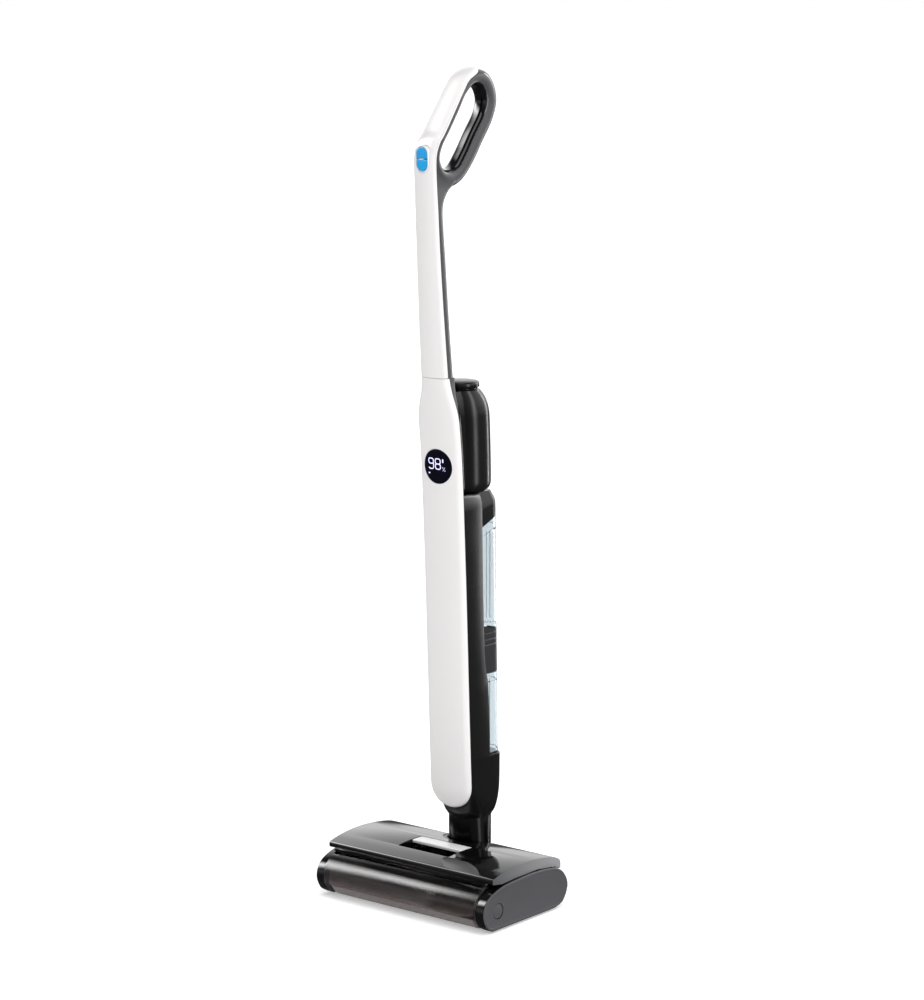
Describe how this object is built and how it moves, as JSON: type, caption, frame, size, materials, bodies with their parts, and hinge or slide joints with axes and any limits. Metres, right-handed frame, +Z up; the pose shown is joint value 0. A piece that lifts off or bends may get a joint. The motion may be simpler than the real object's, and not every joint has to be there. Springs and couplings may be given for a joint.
{
  "type": "wet dry floor scrubber",
  "caption": "Upright cordless wet and dry floor scrubber with a powered roller head, a swivel neck, two lift-off water tanks and a loop handle.",
  "frame": {"origin": "on the floor under the middle of the object's bounding box", "axes": "+Z up along the stick, +X to the right seen from the front, the roller and the display face -Y"},
  "size_m": [0.29, 0.1983, 1.1044],
  "materials": {
    "white_shell": "gloss",
    "satin_black": "satin",
    "gloss_black": "gloss",
    "dark_grey": "satin",
    "grip_grey": "satin",
    "smoky_clear": "gloss",
    "tank_clear": "gloss",
    "sky_blue": "gloss",
    "microfibre": "fuzzy",
    "black_rubber": "matte",
    "steel": "satin",
    "brass": "satin",
    "circuit_green": "gloss",
    "cell_wrap": "satin",
    "light_liner": "satin",
    "filter_felt": "matte"
  },
  "bodies": {
    "head": {"head_base": "satin_black", "head_lid": "gloss_black", "left_end_cap": "dark_grey", "right_end_cap": "dark_grey", "neck_bezel": "satin_black", "suction_duct": "satin_black", "spray_bar": "dark_grey", "rear_squeegee": "black_rubber", "roller_motor": "steel", "drive_belt": "black_rubber", "left_hinge_pin": "steel", "right_hinge_pin": "steel", "left_wheel_axle": "steel", "right_wheel_axle": "steel", "roller_pivot_pin": "steel"},
    "roller": {"roller_sleeve": "microfibre", "roller_core": "light_liner", "roller_end_plug": "satin_black", "roller_pulley": "dark_grey"},
    "motor_drive": {"motor_pulley": "brass"},
    "cover": {"roller_cover": "smoky_clear"},
    "latch": {"cover_latch": "white_shell"},
    "release_button": {"roller_release_button": "dark_grey"},
    "left_wheel": {"left_rear_wheel": "black_rubber"},
    "right_wheel": {"right_rear_wheel": "black_rubber"},
    "neck": {"neck_yoke": "satin_black", "swivel_ring": "light_liner", "suction_hose": "black_rubber", "water_tube": "tank_clear"},
    "stick": {"main_housing": "satin_black", "lower_housing": "satin_black", "front_cover": "white_shell", "display_lens": "gloss_black", "display_board": "circuit_green", "control_board": "circuit_green", "battery_cell_1": "cell_wrap", "battery_cell_2": "cell_wrap", "battery_cell_3": "cell_wrap", "battery_cell_4": "cell_wrap", "battery_tray": "light_liner", "pod_housing": "satin_black", "suction_motor": "steel", "water_pump": "dark_grey", "handle_shell": "grip_grey", "handle_cover": "white_shell", "button_bezel": "white_shell", "button_board": "circuit_green", "charge_socket": "black_rubber"},
    "fan": {"fan_impeller": "light_liner"},
    "filter": {"filter_cap": "satin_black", "exhaust_filter": "filter_felt"},
    "clean_water": {"clean_tank": "tank_clear", "clean_tank_lid": "satin_black", "clean_tank_valve": "black_rubber"},
    "dirty_water": {"dirty_tank": "tank_clear", "dirty_tank_lid": "grip_grey"},
    "tank_clip": {"tank_latch": "dark_grey"},
    "level_float": {"float": "light_liner"},
    "power_key": {"power_button": "sky_blue"},
    "mode_key": {"mode_button": "sky_blue"}
  },
  "joints": [
    {"name": "roller_spin", "type": "hinge", "parent": "head", "child": "roller", "pos_m": [0, -0.06755, 0.028], "axis": [1, 0, 0], "continuous": true},
    {"name": "motor_pulley_spin", "type": "hinge", "parent": "head", "child": "motor_drive", "pos_m": [-0.1335, -0.01355, 0.038], "axis": [1, 0, 0], "continuous": true},
    {"name": "cover_pull", "type": "slide", "parent": "head", "child": "cover", "axis": [0, -0.9848, 0.1736], "range_m": [0, 0.06]},
    {"name": "latch_slide", "type": "slide", "parent": "head", "child": "latch", "axis": [0, -1, 0], "range_m": [0, 0.006], "stiffness_N_per_m": 500},
    {"name": "release_press", "type": "slide", "parent": "head", "child": "release_button", "axis": [-1, 0, 0], "range_m": [0, 0.003], "stiffness_N_per_m": 800},
    {"name": "left_wheel_spin", "type": "hinge", "parent": "head", "child": "left_wheel", "pos_m": [-0.095, 0.06145, 0.011], "axis": [1, 0, 0], "continuous": true},
    {"name": "right_wheel_spin", "type": "hinge", "parent": "head", "child": "right_wheel", "pos_m": [0.095, 0.06145, 0.011], "axis": [1, 0, 0], "continuous": true},
    {"name": "recline", "type": "hinge", "parent": "head", "child": "neck", "pos_m": [0, 0.05295, 0.04], "axis": [-1, 0, 0], "range_deg": [0, 70]},
    {"name": "steer", "type": "hinge", "parent": "neck", "child": "stick", "pos_m": [0, 0.05295, 0.1075], "axis": [0, 0, 1], "range_deg": [-45, 45]},
    {"name": "fan_spin", "type": "hinge", "parent": "stick", "child": "fan", "pos_m": [0, 0.04045, 0.576], "axis": [0, 0, 1], "continuous": true},
    {"name": "filter_lift", "type": "slide", "parent": "stick", "child": "filter", "axis": [0, 0, 1], "range_m": [0, 0.03]},
    {"name": "clean_tank_pull", "type": "slide", "parent": "stick", "child": "clean_water", "axis": [0, 1, 0], "range_m": [0, 0.05]},
    {"name": "dirty_tank_pull", "type": "slide", "parent": "stick", "child": "dirty_water", "axis": [0, 1, 0], "range_m": [0, 0.05]},
    {"name": "clip_press", "type": "slide", "parent": "dirty_water", "child": "tank_clip", "axis": [0, -1, 0], "range_m": [0, 0.003], "stiffness_N_per_m": 1000},
    {"name": "float_rise", "type": "slide", "parent": "dirty_water", "child": "level_float", "axis": [0, 0, 1], "range_m": [0, 0.06]},
    {"name": "power_press", "type": "slide", "parent": "stick", "child": "power_key", "axis": [0, 0.999, 0.0436], "range_m": [0, 0.0015], "stiffness_N_per_m": 1500},
    {"name": "mode_press", "type": "slide", "parent": "stick", "child": "mode_key", "axis": [0, 0.999, 0.0436], "range_m": [0, 0.0015], "stiffness_N_per_m": 1500}
  ],
  "couplings": [
    {"joint": "motor_pulley_spin", "follows": "roller_spin", "ratio": 2}
  ]
}
